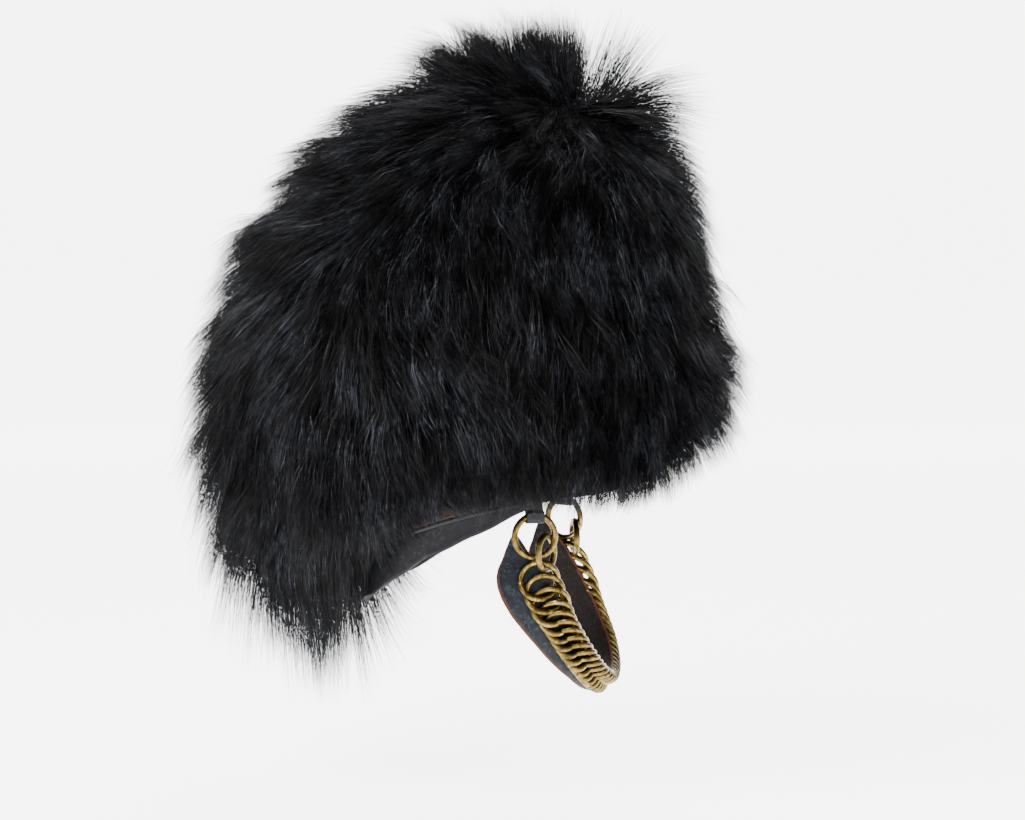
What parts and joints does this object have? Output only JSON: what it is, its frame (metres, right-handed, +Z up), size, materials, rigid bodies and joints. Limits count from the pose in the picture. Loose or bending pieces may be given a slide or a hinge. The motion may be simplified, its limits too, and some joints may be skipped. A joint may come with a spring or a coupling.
{
  "type": "bearskin hat",
  "caption": "Tall ceremonial hat of long black fur over a hollow hide, with a leather head band and a graduated brass chin chain on a leather strap.",
  "frame": {"origin": "centre of the head opening, level with the middle of the rim", "axes": "+Z up out of the crown, -Y the way the wearer faces, +X the wearer's left"},
  "size_m": [0.3079, 0.4063, 0.502],
  "materials": {
    "hide": "matt",
    "fur": "long glossy hair",
    "black_leather": "worn satin",
    "worn_leather": "worn",
    "brass": "aged"
  },
  "bodies": {
    "root": {"hide": "hide", "fur": "fur", "rim_welt": "black_leather", "head_band": "black_leather", "tab_right": "black_leather", "tab_left": "black_leather", "ring_right": "brass", "ring_left": "brass", "link_right": "brass", "link_left": "brass", "chain": "brass", "chin_strap": "worn_leather"}
  },
  "joints": []
}
